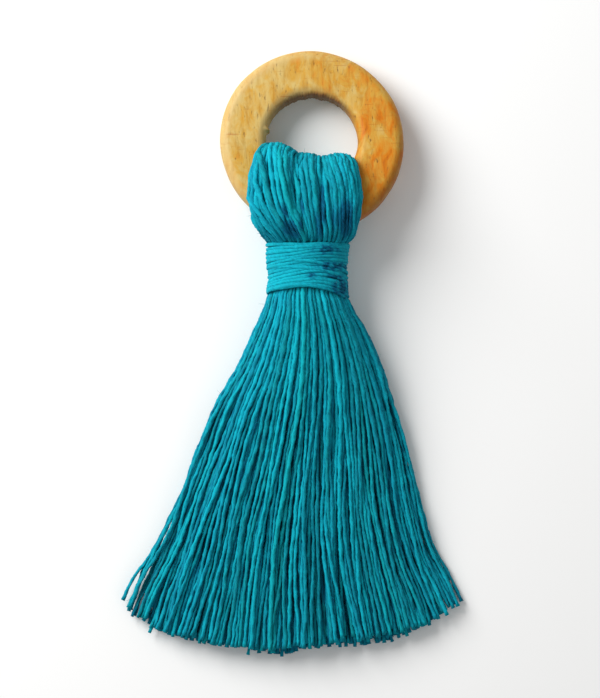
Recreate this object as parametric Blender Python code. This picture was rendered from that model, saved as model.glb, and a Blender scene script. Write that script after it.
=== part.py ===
# A tassel of cotton yarn. The hank is folded through a flat wooden ring and bound at its neck.
# It lies on its back on the plane z = 0 with the ring towards +Y. The origin is under the
# middle of its outline. Named sizes are in metres, and the tables give millimetres.

import math

import bmesh
import bpy

MM = 0.001
PIECE_GAP = 0.3 * MM            # air kept between pieces that touch
TUNNEL_GAP = 1.2 * PIECE_GAP    # round the ring, faceted as its tunnel is
WELD_DISTANCE = 0.01 * MM

# Ring: flat, turned from wood, lying with its far edge on the ground
RING_OUTER_RADIUS = 20.0 * MM
RING_HOLE_RADIUS = 10.0 * MM
RING_THICKNESS = 6.5 * MM
RING_EDGE_RADIUS = 2.2 * MM
RING_EDGE_STEPS = 4
RING_STEPS = 64
RING_CENTRE_X = 4.65 * MM
RING_CENTRE_Y = 45.75 * MM
RING_TILT = math.radians(9.0)
WOOD_COLOUR = (0.64, 0.40, 0.12)
WOOD_ROUGHNESS = 0.6
RING_SHARP_ANGLE = 40.0

# Yarn of the hank and of the binding
YARN_COLOUR = (0.006, 0.27, 0.33)
BINDING_COLOUR = (0.006, 0.24, 0.30)
YARN_ROUGHNESS = 0.85
YARN_SHARP_ANGLE = 60.0

# Neck binding: fine yarn wound round the hank in slanting turns
WRAP_CENTRE_X = 3.7 * MM
WRAP_HALF_WIDTH = 8.75 * MM
WRAP_HEIGHT = 14.5 * MM
WRAP_THICKNESS = 1.1 * MM
WRAP_PRESS = 1.15               # how hard the back is pressed flat
WRAP_TOP_Y = 23.9 * MM
WRAP_LOW_Y = 12.3 * MM
WRAP_FLARE = 0.3 * MM           # how far both ends swell past the waist
WRAP_FLARE_POWER = 4            # keeps the swelling close to the ends
WRAP_RIDGES = 6
WRAP_RIDGE_HEIGHT = 0.16 * MM
WRAP_SLANT = 0.9                # ridges climbed from the left side to the right side
WRAP_STEPS_ROUND = 48
WRAP_STEPS_LONG = 17
WRAP_INNER_STEPS_LONG = 5
WRAP_LIP_RISE = 1.3 * MM        # the lower edge arches up over the front
WRAP_LIP_SIDE = 0.6 * MM        # and hangs lower on the right than on the left
LIP_PULL_LOW_Y = -4.0 * MM      # the hank's sections follow that edge from here
LIP_PULL_HIGH_Y = 10.3 * MM
LIP_PULL_FADE_Y = 13.0 * MM     # and straighten again from here
LIP_PULL_END_Y = 20.0 * MM

# Hank: sections from the cut ends to the fold. Each row's edges lie "bow" beyond its middle,
# crown is the height of the front, waist that of the widest line, dome sharpens the sides, and
# press is how hard the back is pressed flat.
HANK_COLUMNS = ("y", "bow", "left", "right", "crown", "waist", "under", "dome", "press")
HANK_SECTIONS = (
    (-64.3, 9.3, -37.6, 37.6, 6.6, 0.8, 0.0, 1.35, 1.6),
    (-58.0, 8.7, -34.4, 34.4, 7.2, 0.9, 0.0, 1.35, 1.6),
    (-50.0, 7.5, -30.6, 31.4, 7.9, 1.0, 0.0, 1.3, 1.6),
    (-38.0, 5.3, -25.5, 28.2, 8.9, 1.2, 0.0, 1.25, 1.6),
    (-26.0, 3.4, -21.3, 25.4, 9.9, 1.6, 0.0, 1.2, 1.6),
    (-14.0, 1.9, -16.5, 22.9, 11.0, 2.2, 0.0, 1.1, 1.6),
    (-4.0, 0.8, -11.9, 19.6, 12.2, 3.2, 0.0, 1.0, 1.6),
    (4.5, 0.3, -8.0, 16.0, 13.4, 4.8, 0.0, 0.9, 1.5),
    (9.6, 0.0, -5.6, 13.1, 14.0, 6.6, 0.3, 0.85, 1.3),
    (11.2, 0.0, -4.3, 11.7, 13.2, 7.2, 1.2, 0.85, 1.12),
    (12.2, 0.0, -3.6, 11.0, 13.1, 7.2, 1.45, 0.85, 1.1),
    (23.5, 0.0, -3.6, 11.0, 13.1, 7.2, 1.45, 0.85, 1.1),
    (24.3, 0.0, -4.6, 11.8, 14.0, 7.2, 1.0, 0.85, 1.15),
    (26.2, 0.0, -6.9, 14.4, 16.4, 7.4, 0.0, 0.8, 1.4),
    (29.0, 0.0, -8.3, 15.1, 17.7, 7.8, 0.0, 0.75, 1.5),
    (33.0, 0.0, -8.9, 15.3, 18.4, 8.2, 0.0, 0.75, 1.5),
    (36.5, 0.0, -8.7, 15.0, 18.5, 8.4, 0.0, 0.75, 1.4),
    (39.8, 0.0, -8.2, 14.5, 17.6, 8.5, 0.9, 0.75, 1.2),
    (42.2, 0.0, -7.3, 13.7, 15.6, 8.6, 2.6, 0.75, 1.1),
    (43.6, 0.0, -6.0, 12.6, 12.9, 8.7, 4.7, 0.75, 1.1),
    (44.2, 0.0, -4.6, 11.3, 10.0, 8.8, 7.4, 0.75, 1.1),
)
HANK_STEPS_ACROSS = 38
HANK_STEPS_LONG = 42
HANK_EDGE_CROWDING = 0.45       # how much closer together the columns are at both edges
UNDERSIDE_CURVE = 0.85

# Fold line over the ring, seen from the front: its three lobes
CREST_COLUMNS = ("x", "y")
CREST_POINTS = (
    (-7.6, 43.4), (-3.4, 45.7), (0.6, 44.6), (2.1, 43.2), (4.4, 43.5),
    (6.8, 42.2), (10.3, 43.1), (14.6, 40.4),
)
CREST_START_Y = 34.0 * MM       # the lobes grow from here to the fold

# Grooves between the lobes, running down to the binding
GROOVE_COLUMNS = ("x_fold", "x_neck", "depth", "width")
GROOVES = (
    (2.1, -0.2, 1.7, 1.1),
    (6.8, 5.6, 1.3, 1.0),
)

# Locks of strands in the skirt, and its uneven cut ends
LOCKS = 15
LOCK_DEPTH = 1.0 * MM
LOCK_SWAY = 0.035
LOCK_SWAY_ACROSS = 7.0          # waves of the sway across the skirt, and down it
LOCK_SWAY_DOWN = 5.0
LOCK_START = 0.5                # part of the skirt's length where the locks are at full depth
HEM_UNEVEN = 0.55 * MM
HEM_WAVES = ((11.0, 0.6, 1.0), (29.0, 0.0, 0.6))        # waves across, their phase and their share
HEM_TOOTH = 0.5 * MM
HEM_UNDER_LONGER = 0.7 * MM     # the strands at the back end a little lower


def clear_scene():
    for item in list(bpy.data.objects):
        bpy.data.objects.remove(item, do_unlink=True)


def make_material(name, colour, roughness):
    material = bpy.data.materials.new(name)
    material.use_nodes = True
    shader = material.node_tree.nodes["Principled BSDF"]
    shader.inputs["Base Color"].default_value = (*colour, 1.0)
    shader.inputs["Roughness"].default_value = roughness
    shader.inputs["Metallic"].default_value = 0.0
    material.diffuse_color = (*colour, 1.0)
    return material


def add_object(name, mesh, material=None, sharp_angle=180.0):
    item = bpy.data.objects.new(name, mesh)
    bpy.context.scene.collection.objects.link(item)
    mesh.shade_smooth()
    mesh.set_sharp_from_angle(angle=math.radians(sharp_angle))
    if material:
        mesh.materials.append(material)
    return item


def skin_rows(name, rows, closed_long=False):
    # Quads between rows of points that run round the piece. The piece is closed lengthwise,
    # or each end is closed by strips from the front point to the back point of a column.
    mesh = bpy.data.meshes.new(name)
    bm = bmesh.new()
    grid = [[bm.verts.new(point) for point in row] for row in rows]
    around = len(grid[0])
    spans = len(grid) if closed_long else len(grid) - 1
    for i in range(spans):
        this_row, next_row = grid[i], grid[(i + 1) % len(grid)]
        for j in range(around):
            k = (j + 1) % around
            bm.faces.new((this_row[j], this_row[k], next_row[k], next_row[j]))
    if not closed_long:
        half = around // 2
        for row in (grid[0], grid[-1]):
            for j in range(half):
                corners = [row[j], row[j + 1], row[(around - j - 1) % around], row[(around - j) % around]]
                bm.faces.new(list(dict.fromkeys(corners)))
    bmesh.ops.recalc_face_normals(bm, faces=bm.faces)
    bm.to_mesh(mesh)
    bm.free()
    return mesh


def mix(a, b, t):
    return a + (b - a) * t


def ease(t):
    t = min(max(t, 0.0), 1.0)
    return t * t * (3.0 - 2.0 * t)


def table_rows(columns, rows):
    return [dict(zip(columns, row)) for row in rows]


def smooth_section(sections, place):
    # A cubic curve through every column of the table, at a place counted in rows
    index = min(int(place), len(sections) - 2)
    t = place - index
    before = sections[max(index - 1, 0)]
    first = sections[index]
    second = sections[index + 1]
    after = sections[min(index + 2, len(sections) - 1)]
    span = second["y"] - first["y"]
    section = {}
    for column in HANK_COLUMNS:
        start_slope = slope(before, second, column) * span
        end_slope = slope(first, after, column) * span
        if flat_step(before, first, second, column):
            start_slope = 0.0
        if flat_step(first, second, after, column):
            end_slope = 0.0
        a, b = first[column], second[column]
        section[column] = (
            (2 * t**3 - 3 * t**2 + 1) * a
            + (t**3 - 2 * t**2 + t) * start_slope
            + (3 * t**2 - 2 * t**3) * b
            + (t**3 - t**2) * end_slope
        )
    return section


def slope(low, high, column):
    return (high[column] - low[column]) / (high["y"] - low["y"])


def flat_step(low, middle, high, column):
    # True where the column turns back or stays level, so that the curve doesn't overshoot
    return (middle[column] - low[column]) * (high[column] - middle[column]) <= 0.0


def crest_shift(x):
    # How far the fold line lies beyond its last section at this x, in metres
    points = table_rows(CREST_COLUMNS, CREST_POINTS)
    last_y = HANK_SECTIONS[-1][0]
    x_mm = min(max(x / MM, points[0]["x"]), points[-1]["x"])
    for low, high in zip(points, points[1:]):
        if x_mm <= high["x"]:
            t = ease((x_mm - low["x"]) / (high["x"] - low["x"]))
            return (mix(low["y"], high["y"], t) - last_y) * MM
    return 0.0


def groove_depth(x, y):
    # Depth of the grooves between the lobes of the head
    fold_y, neck_y = HANK_SECTIONS[-1][0] * MM, WRAP_TOP_Y
    along = (y - neck_y) / (fold_y - neck_y)
    if along < 0.0:
        return 0.0
    depth = 0.0
    for groove in table_rows(GROOVE_COLUMNS, GROOVES):
        centre = mix(groove["x_neck"], groove["x_fold"], min(along, 1.0)) * MM
        away = (x - centre) / (groove["width"] * MM)
        depth += groove["depth"] * MM * math.exp(-away * away) * ease(0.25 + along)
    return depth


def lock_depth(u, y):
    # Depth of the valleys between locks of strands, growing from the binding to the hem
    down = (WRAP_LOW_Y - y) / (WRAP_LOW_Y - HANK_SECTIONS[0][0] * MM)
    if down <= 0.0:
        return 0.0
    sway = LOCK_SWAY * math.sin(LOCK_SWAY_ACROSS * u + LOCK_SWAY_DOWN * down)
    valley = abs(math.cos(math.pi * LOCKS * 0.5 * (u + sway)))
    return LOCK_DEPTH * ease(down / LOCK_START) * (1.0 - valley) * (1.0 - u * u)


def wrap_lip(side, rise):
    # Height of the binding's lower edge over its lowest line, by direction round the neck
    return WRAP_LIP_RISE * max(rise, 0.0) - WRAP_LIP_SIDE * side


def hem_shift(column, u):
    # Uneven cut ends, with a tooth at every other column
    tooth = HEM_TOOTH if column % 2 else -HEM_TOOTH
    return tooth + HEM_UNEVEN * sum(share * math.sin(waves * u + phase) for waves, phase, share in HEM_WAVES)


def column_place(column):
    # Columns are spread evenly across, and closer together at both edges
    even = 2.0 * column / HANK_STEPS_ACROSS - 1.0
    rounded = -math.cos(math.pi * column / HANK_STEPS_ACROSS)
    return mix(even, rounded, HANK_EDGE_CROWDING)


def hank_point(section, column, front, hem):
    u = column_place(column)
    left, right = section["left"] * MM, section["right"] * MM
    x = mix(left, right, 0.5 * (u + 1.0))
    y = section["y"] * MM + section["bow"] * MM * u * u
    crown, waist, under = (section[key] * MM for key in ("crown", "waist", "under"))
    bulge = math.sqrt(max(1.0 - u * u, 0.0))
    if front:
        z = waist + (crown - waist) * bulge ** section["dome"]
        rise = (z - waist) / (crown - waist)
        z -= (lock_depth(u, y) + groove_depth(x, y)) * bulge
    else:
        z = max(under, waist - (waist - under) * section["press"] * bulge ** UNDERSIDE_CURVE)
        rise = 0.0
    fold = ease((y - CREST_START_Y) / (HANK_SECTIONS[-1][0] * MM - CREST_START_Y))
    y += crest_shift(x) * fold
    below = ease((y - LIP_PULL_LOW_Y) / (LIP_PULL_HIGH_Y - LIP_PULL_LOW_Y))
    above = ease((LIP_PULL_END_Y - y) / (LIP_PULL_END_Y - LIP_PULL_FADE_Y))
    y += wrap_lip(u, rise) * below * above
    if hem:
        y += hem_shift(column, u) * bulge
        y -= 0.0 if front else HEM_UNDER_LONGER * bulge
    return (x, y, z)


def hank_rows():
    sections = table_rows(HANK_COLUMNS, HANK_SECTIONS)
    fronts = range(HANK_STEPS_ACROSS + 1)
    backs = range(HANK_STEPS_ACROSS - 1, 0, -1)
    rows = []
    for step in range(HANK_STEPS_LONG + 1):
        place = step * (len(sections) - 1) / HANK_STEPS_LONG
        section = smooth_section(sections, place)
        hem = step == 0
        rows.append(
            [hank_point(section, column, True, hem) for column in fronts]
            + [hank_point(section, column, False, hem) for column in backs]
        )
    return rows


def wrap_ring(y_part, inset, ridges):
    # One closed line round the binding, at a part of its length, some way in from its surface
    points = []
    for step in range(WRAP_STEPS_ROUND):
        turn = 2.0 * math.pi * step / WRAP_STEPS_ROUND
        side, rise = math.cos(turn), math.sin(turn)
        end_swell = WRAP_FLARE * (2.0 * y_part - 1.0) ** WRAP_FLARE_POWER
        ridge = 0.0
        if ridges:
            wave = math.sin(math.pi * (WRAP_RIDGES * y_part - 0.5 * WRAP_SLANT * side * (rise > 0)))
            ridge = WRAP_RIDGE_HEIGHT * (abs(wave) - 1.0)
        half = WRAP_HALF_WIDTH + end_swell + ridge - inset
        middle = WRAP_HEIGHT * 0.5
        top = WRAP_HEIGHT + end_swell + ridge - inset
        bulge = abs(rise) ** UNDERSIDE_CURVE
        if rise >= 0.0:
            z = middle + (top - middle) * bulge
        else:
            z = max(inset, middle - (middle - inset) * WRAP_PRESS * bulge)
        low = WRAP_LOW_Y + wrap_lip(side, rise)
        points.append((WRAP_CENTRE_X + half * side, mix(low, WRAP_TOP_Y, y_part), z))
    return points


def wrap_rows():
    outside = [wrap_ring(step / (WRAP_STEPS_LONG - 1), 0.0, True) for step in range(WRAP_STEPS_LONG)]
    inner_parts = [1.0 - step / (WRAP_INNER_STEPS_LONG - 1) for step in range(WRAP_INNER_STEPS_LONG)]
    inside = [wrap_ring(part, WRAP_THICKNESS, False) for part in inner_parts]
    return outside + inside


def ring_profile(grow):
    # Rounded rectangle from the hole to the rim, "grow" larger on every side
    low_r, high_r = RING_HOLE_RADIUS - grow, RING_OUTER_RADIUS + grow
    half = RING_THICKNESS * 0.5 + grow
    edge = RING_EDGE_RADIUS + grow
    corners = ((high_r - edge, half - edge, 0.0), (low_r + edge, half - edge, 90.0),
               (low_r + edge, edge - half, 180.0), (high_r - edge, edge - half, 270.0))
    points = []
    for radius, height, start in corners:
        for step in range(RING_EDGE_STEPS + 1):
            turn = math.radians(start + 90.0 * step / RING_EDGE_STEPS)
            points.append((radius + edge * math.cos(turn), 0.0, height + edge * math.sin(turn)))
    return points


def ring_mesh(name, grow):
    mesh = bpy.data.meshes.new(name)
    bm = bmesh.new()
    verts = [bm.verts.new(point) for point in ring_profile(grow)]
    edges = [bm.edges.new((verts[i - 1], verts[i])) for i in range(len(verts))]
    bmesh.ops.spin(bm, geom=verts + edges, cent=(0.0, 0.0, 0.0), axis=(0.0, 0.0, 1.0),
                   angle=2.0 * math.pi, steps=RING_STEPS, use_merge=True)
    bmesh.ops.remove_doubles(bm, verts=bm.verts, dist=WELD_DISTANCE)
    bmesh.ops.recalc_face_normals(bm, faces=bm.faces)
    bm.to_mesh(mesh)
    bm.free()
    return mesh


def place_ring(item):
    low_edge = (RING_OUTER_RADIUS - RING_EDGE_RADIUS) * math.sin(RING_TILT)
    low_face = (RING_THICKNESS * 0.5 - RING_EDGE_RADIUS) * math.cos(RING_TILT)
    item.location = (RING_CENTRE_X, RING_CENTRE_Y, low_edge + low_face + RING_EDGE_RADIUS)
    item.rotation_euler = (-RING_TILT, 0.0, 0.0)


def build_ring():
    wood = make_material("turned_wood", WOOD_COLOUR, WOOD_ROUGHNESS)
    ring = add_object("ring", ring_mesh("ring", 0.0), wood, RING_SHARP_ANGLE)
    place_ring(ring)
    return ring


def build_hank():
    yarn = make_material("cotton_yarn", YARN_COLOUR, YARN_ROUGHNESS)
    hank = add_object("hank", skin_rows("hank", hank_rows()), yarn, YARN_SHARP_ANGLE)
    tunnel = add_object("ring_tunnel", ring_mesh("ring_tunnel", TUNNEL_GAP))
    place_ring(tunnel)
    tunnel.hide_render = True
    tunnel.display_type = "WIRE"
    cut = hank.modifiers.new("tunnel", "BOOLEAN")
    cut.operation = "DIFFERENCE"
    cut.solver = "EXACT"
    cut.object = tunnel
    return hank


def build_wrap():
    fine_yarn = make_material("binding_yarn", BINDING_COLOUR, YARN_ROUGHNESS)
    return add_object("neck_wrap", skin_rows("neck_wrap", wrap_rows(), True), fine_yarn,
                      YARN_SHARP_ANGLE)


clear_scene()
build_ring()
build_hank()
build_wrap()
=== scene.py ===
import math

import bpy
import numpy as np
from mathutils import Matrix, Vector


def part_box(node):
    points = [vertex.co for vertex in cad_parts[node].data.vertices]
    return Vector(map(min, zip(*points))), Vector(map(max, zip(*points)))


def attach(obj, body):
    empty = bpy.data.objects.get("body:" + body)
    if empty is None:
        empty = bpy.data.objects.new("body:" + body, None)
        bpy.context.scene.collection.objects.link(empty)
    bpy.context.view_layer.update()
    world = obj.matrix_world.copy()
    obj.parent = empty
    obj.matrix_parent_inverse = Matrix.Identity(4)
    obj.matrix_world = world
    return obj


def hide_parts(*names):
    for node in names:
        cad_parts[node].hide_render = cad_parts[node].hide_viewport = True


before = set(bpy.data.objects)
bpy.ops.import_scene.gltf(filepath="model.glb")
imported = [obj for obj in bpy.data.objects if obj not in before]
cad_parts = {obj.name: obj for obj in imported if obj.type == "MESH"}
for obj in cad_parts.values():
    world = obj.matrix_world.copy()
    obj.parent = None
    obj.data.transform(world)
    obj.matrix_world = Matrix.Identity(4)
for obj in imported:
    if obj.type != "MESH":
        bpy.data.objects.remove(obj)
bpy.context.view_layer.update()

mm = 0.001      # m, shapes below are in mm unless a note says otherwise
rng = np.random.default_rng(11)
print("frame loaded")


def deselectAll():
    if bpy.context.mode != "OBJECT":
        bpy.ops.object.mode_set(mode="OBJECT")
    bpy.ops.object.select_all(action="DESELECT")


def linear(hexColour):
    # sRGB hex to the linear values that shaders take
    parts = [int(hexColour[i:i + 2], 16) / 255 for i in (1, 3, 5)]
    return tuple(c / 12.92 if c <= 0.04045 else ((c + 0.055) / 1.055) ** 2.4 for c in parts) + (1.0,)


def addNode(tree, kind, sockets=None, **settings):
    # a node with its settings, its values and its links
    item = tree.nodes.new("ShaderNode" + kind)
    for name, value in settings.items():
        setattr(item, name, value)
    for name, value in (sockets or {}).items():
        if isinstance(value, bpy.types.NodeSocket):
            tree.links.new(value, item.inputs[name])
        else:
            item.inputs[name].default_value = value
    return item


def setRamp(ramp, stops):
    elements = ramp.color_ramp.elements
    while len(elements) < len(stops):
        elements.new(0.5)
    for element, (place, colour) in zip(elements, stops):
        element.position = place
        element.color = colour


def newMaterial(name):
    material = bpy.data.materials.new(name)
    material.use_nodes = True
    tree = material.node_tree
    return material, tree, tree.nodes["Principled BSDF"]


def ease(t):
    t = np.clip(t, 0.0, 1.0)
    return t * t * (3.0 - 2.0 * t)


def mix(a, b, t):
    return a + (b - a) * t


def bend(t, a, b, slopeA, slopeB):
    # a cubic from a to b that leaves and arrives with the two slopes
    return ((2 * t**3 - 3 * t**2 + 1) * a + (t**3 - 2 * t**2 + t) * slopeA
            + (3 * t**2 - 2 * t**3) * b + (t**3 - t**2) * slopeB)


def waves(count, places, lengths, sizes):
    # smooth wander of each strand along its length
    total = np.zeros((count, len(places)))
    for length, size in zip(lengths, sizes):
        phase = rng.uniform(0, 2 * math.pi, (count, 1))
        stretch = rng.uniform(0.8, 1.25, (count, 1))
        total += size * np.sin(2 * math.pi * places[None, :] / (length * stretch) + phase)
    return total


# straight above the tassel, the ring at the top
cameraPlace = {
    "height": 0.62,        # m above the yarn
    "tall": 0.1517,        # m of the table from the top of the view to its foot
    "x": 0.00207,
    "y": 0.0006,
    "plane": 0.008,        # m above the table, the height where that is measured
    "sensor": 36.0,        # mm
}


def buildCamera():
    data = bpy.data.cameras.new("camera")
    data.sensor_fit = "VERTICAL"
    data.sensor_width = data.sensor_height = cameraPlace["sensor"]
    data.lens = cameraPlace["sensor"] * cameraPlace["height"] / cameraPlace["tall"]
    camera = bpy.data.objects.new("camera", data)
    camera.location = (cameraPlace["x"], cameraPlace["y"], cameraPlace["plane"] + cameraPlace["height"])
    bpy.context.scene.collection.objects.link(camera)
    bpy.context.scene.camera = camera


buildCamera()
print("camera placed")


# a ring turned from a pale hardwood, sanded and waxed: streaked grain, amber stains and a soft gloss
woodLook = {
    "pale": "#C8AC68",
    "golden": "#C6983C",
    "amber": "#CC7808",
    "brown": "#A04C06",
    # a dark brown painted as shade on the outer edge at the lower right, where it turns from the lamp
    "rimShadeBrown": "#74400F",
    "rimShadeAmount": 0.75,
    "rimShadeBand": (17.7, 19.4),      # mm from the ring's middle, where it starts and where it is full
    "fleck": "#6E4614",
    "rim": "#C2A874",
    "rimPaler": 0.5,
    "outerRim": (17.4, 18.7),         # mm from the middle, as above
    "innerRim": (12.4, 11.2),
    # the colour of the eye's far wall in painted shade
    "wall": "#6E4A33",
    # the rims are palest on the left, where painted light is added to their sanded colour
    "rimSide": (-10.0, 12.0),         # mm, from the palest rims to rims like the face
    "wallDepth": (11.3, 10.3),        # mm from the middle, as above
    "wallSide": (3.5, 8.5),
    "amberAcross": (-14.0, 22.0),     # mm from the middle, from the least amber to the most
    "amberDown": (10.0, -16.0),
    "grainAcross": 0.9,      # mm between streaks
    "grainAlong": 6.0,       # mm, the length of a streak
    "blotchAcross": 2.6,     # mm
    "blotchAlong": 4.7273,   # mm
    "fleckAcross": 0.45,     # mm
    "fleckAlong": 2.2,       # mm
    "sawMarkAcross": 5.2632,  # mm
    "sawMarkAlong": 0.3125,   # mm
}


def woodMaterial(centre):
    material, tree, shader = newMaterial("turned hardwood, waxed")
    look = woodLook
    coords = addNode(tree, "TexCoord").outputs["Object"]
    noises = {}
    for name, settings, detail, rough, distort in (
        ("grain", {}, 5.0, 0.62, 0.35),
        ("blotch", {"Location": (3.1, 1.7, 0.4)}, 4.0, 0.6, 0.8),
        ("fleck", {"Rotation": (0.0, 0.0, 0.12)}, 3.0, 0.55, 0.0),
        ("sawMark", {}, 2.0, 0.5, 0.0),
    ):
        wide, long = look[name + "Across"] * mm, look[name + "Along"] * mm
        settings = {"Vector": coords, "Scale": (1 / wide, 1 / long, 1 / wide), **settings}
        scaled = addNode(tree, "Mapping", settings).outputs[0]
        noise = addNode(tree, "TexNoise", {"Vector": scaled, "Scale": 1.0, "Detail": detail,
                                           "Roughness": rough, "Distortion": distort})
        noises[name] = noise.outputs["Fac"]
    # places on the ring, counted from its middle
    fromMiddle = addNode(tree, "VectorMath", {0: coords, 1: tuple(centre)}, operation="SUBTRACT").outputs[0]
    flat = addNode(tree, "VectorMath", {0: fromMiddle, 1: (1.0, 1.0, 0.0)}, operation="MULTIPLY").outputs[0]
    reach = addNode(tree, "VectorMath", {0: flat}, operation="LENGTH").outputs["Value"]
    depth = addNode(tree, "VectorMath", {0: fromMiddle}, operation="LENGTH").outputs["Value"]
    place = addNode(tree, "SeparateXYZ", {"Vector": fromMiddle})
    spans = {}
    for name, value, least, most in (
        ("amberAcross", place.outputs["X"], -0.09, 0.15),
        ("amberDown", place.outputs["Y"], 0.0, 0.13),
        ("outerRim", reach, 0.0, 1.0),
        ("innerRim", reach, 0.0, 1.0),
        ("rimSide", place.outputs["X"], look["rimPaler"], 0.0),
        ("rimShadeBand", reach, 0.0, 1.0),
        ("wallDepth", depth, 0.0, 1.0),
        ("wallSide", place.outputs["Y"], 0.0, 0.85),
    ):
        starts, full = (part * mm for part in look[name])
        span = addNode(tree, "MapRange", {"Value": value, "From Min": starts, "From Max": full,
                                          "To Min": least, "To Max": most})
        spans[name] = span.outputs[0]
    # amber grows towards the lower right, in blotches
    lean = addNode(tree, "Math", {0: spans["amberAcross"], 1: spans["amberDown"]}, operation="ADD").outputs[0]
    amount = addNode(tree, "Math", {0: noises["blotch"], 1: lean}, operation="ADD")
    base = addNode(tree, "ValToRGB", {"Fac": amount.outputs[0]})
    setRamp(base, ((0.37, linear(look["pale"])), (0.56, linear(look["golden"])),
                   (0.80, linear(look["amber"])), (1.15, linear(look["brown"]))))
    streaks = addNode(tree, "ValToRGB", {"Fac": noises["grain"]})
    setRamp(streaks, ((0.3, (0.76, 0.6, 0.3, 1.0)), (0.5, (1.0, 0.95, 0.82, 1.0)),
                      (0.7, (1.06, 1.1, 1.14, 1.0))))
    coloured = addNode(tree, "Mix", {0: 0.75, 6: base.outputs[0], 7: streaks.outputs[0]},
                       data_type="RGBA", blend_type="MULTIPLY")
    fleckMask = addNode(tree, "MapRange", {"Value": noises["fleck"], "From Min": 0.62, "From Max": 0.74,
                                           "To Min": 0.0, "To Max": 0.75})
    # both rims are sanded paler and smoother than the face, and painted light makes them palest on the left,
    # where the lamp falls
    rims = addNode(tree, "Math", {0: spans["outerRim"], 1: spans["innerRim"]}, operation="MAXIMUM")
    sandedAndLitRims = addNode(tree, "Math", {0: rims.outputs[0], 1: spans["rimSide"]}, operation="MULTIPLY")
    # painted shade: the outer edge at the lower right, which rounds away from the lamp, is darkened to brown
    lower = addNode(tree, "MapRange", {"Value": lean, "From Min": 0.10, "From Max": 0.26,
                                       "To Min": 0.0, "To Max": look["rimShadeAmount"]})
    rimShadeMask = addNode(tree, "Math", {0: spans["rimShadeBand"], 1: lower.outputs[0]}, operation="MULTIPLY")
    # short marks across the grain, left by the saw
    sawMask = addNode(tree, "MapRange", {"Value": noises["sawMark"], "From Min": 0.66, "From Max": 0.74,
                                         "To Min": 0.0, "To Max": 0.45})
    # the eye's far wall, where the cutter tore the end grain, is rough; its brown is painted shade, as that
    # wall faces away from the lamp
    farWallShade = addNode(tree, "Math", {0: spans["wallDepth"], 1: spans["wallSide"]}, operation="MULTIPLY")
    for mask, colour in ((fleckMask, "fleck"), (sandedAndLitRims, "rim"), (rimShadeMask, "rimShadeBrown"), (sawMask, "brown"),
                         (farWallShade, "wall")):
        coloured = addNode(tree, "Mix", {0: mask.outputs[0], 6: coloured.outputs[2],
                                         7: linear(look[colour])}, data_type="RGBA")
    tree.links.new(coloured.outputs[2], shader.inputs["Base Color"])
    roughness = addNode(tree, "MapRange", {"Value": noises["grain"], "From Min": 0.3, "From Max": 0.7,
                                           "To Min": 0.62, "To Max": 0.46})
    tree.links.new(roughness.outputs[0], shader.inputs["Roughness"])
    heights = addNode(tree, "Math", {0: noises["grain"], 1: fleckMask.outputs[0]}, operation="SUBTRACT")
    bump = addNode(tree, "Bump", {"Height": heights.outputs[0], "Strength": 0.55, "Distance": 0.12 * mm})
    tree.links.new(bump.outputs[0], shader.inputs["Normal"])
    shader.inputs["Specular IOR Level"].default_value = 0.22
    return material


ringShape = {
    "holeRadius": 10.0,      # mm
    "thickness": 6.5,        # mm
    "edgeRadius": 2.2,       # mm, both rims sanded round
    "tilt": 9.0,             # degrees, the far edge down on the table
    "segments": 144,
    "uneven": 0.28,          # mm, hand turned
    "unevenSize": 9.0,       # mm
    "oval": 0.22,            # mm, out of round
    "ovalBearing": 135.0,    # degrees, where it's widest
    "tornDepth": 0.2,        # mm, torn end grain at the far side of the eye
    "tufts": (98.0, 79.0),   # degrees round the eye, of two tufts of it
    "splinterAngle": 166.0,  # degrees round the eye
    "splinterHeight": 0.55,  # mm
    "splinterWide": 0.45,    # mm
}


def buildRing():
    deselectAll()
    low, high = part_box("ring")
    centre = (low + high) / 2
    outer = (high.x - low.x) / 2
    shape = ringShape
    hole = shape["holeRadius"] * mm
    bpy.ops.mesh.primitive_cylinder_add(vertices=shape["segments"], radius=outer,
                                        depth=shape["thickness"] * mm,
                                        end_fill_type="NGON", location=(0, 0, 0))
    ring = bpy.context.object
    ring.name = "woodRing"
    bpy.ops.object.mode_set(mode="EDIT")
    bpy.ops.mesh.select_mode(type="FACE")
    bpy.ops.mesh.select_all(action="DESELECT")
    bpy.ops.object.mode_set(mode="OBJECT")
    for face in ring.data.polygons:
        face.select = abs(face.normal.z) > 0.9
    bpy.ops.object.mode_set(mode="EDIT")
    bpy.ops.mesh.inset(thickness=outer - hole)
    bpy.ops.mesh.bridge_edge_loops()
    bpy.ops.mesh.select_all(action="DESELECT")
    bpy.ops.mesh.select_mode(type="EDGE")
    bpy.ops.mesh.edges_select_sharp(sharpness=math.radians(60))
    bpy.ops.mesh.bevel(offset=shape["edgeRadius"] * mm, segments=6, profile=0.5)
    bpy.ops.mesh.select_all(action="SELECT")
    bpy.ops.mesh.normals_make_consistent(inside=False)
    bpy.ops.object.mode_set(mode="OBJECT")
    smooth = ring.modifiers.new("smooth", "SUBSURF")
    smooth.levels = 2
    smooth.render_levels = 2
    lumps = bpy.data.textures.new("lumps", "CLOUDS")
    lumps.noise_scale = shape["unevenSize"] * mm
    lumps.noise_depth = 1
    uneven = ring.modifiers.new("uneven", "DISPLACE")
    uneven.texture = lumps
    uneven.texture_coords = "LOCAL"
    uneven.strength = shape["uneven"] * mm
    uneven.mid_level = 0.5
    for modifier in ("smooth", "uneven"):
        bpy.ops.object.modifier_apply(modifier=modifier)
    shapeByHand(ring, hole, outer)
    ring.rotation_euler = (-math.radians(shape["tilt"]), 0.0, 0.0)
    ring.location = centre
    bpy.ops.object.transform_apply(location=True, rotation=True, scale=True)
    bpy.ops.object.shade_smooth()
    ring.data.materials.append(woodMaterial(centre))
    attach(ring, "root")
    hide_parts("ring")


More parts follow.
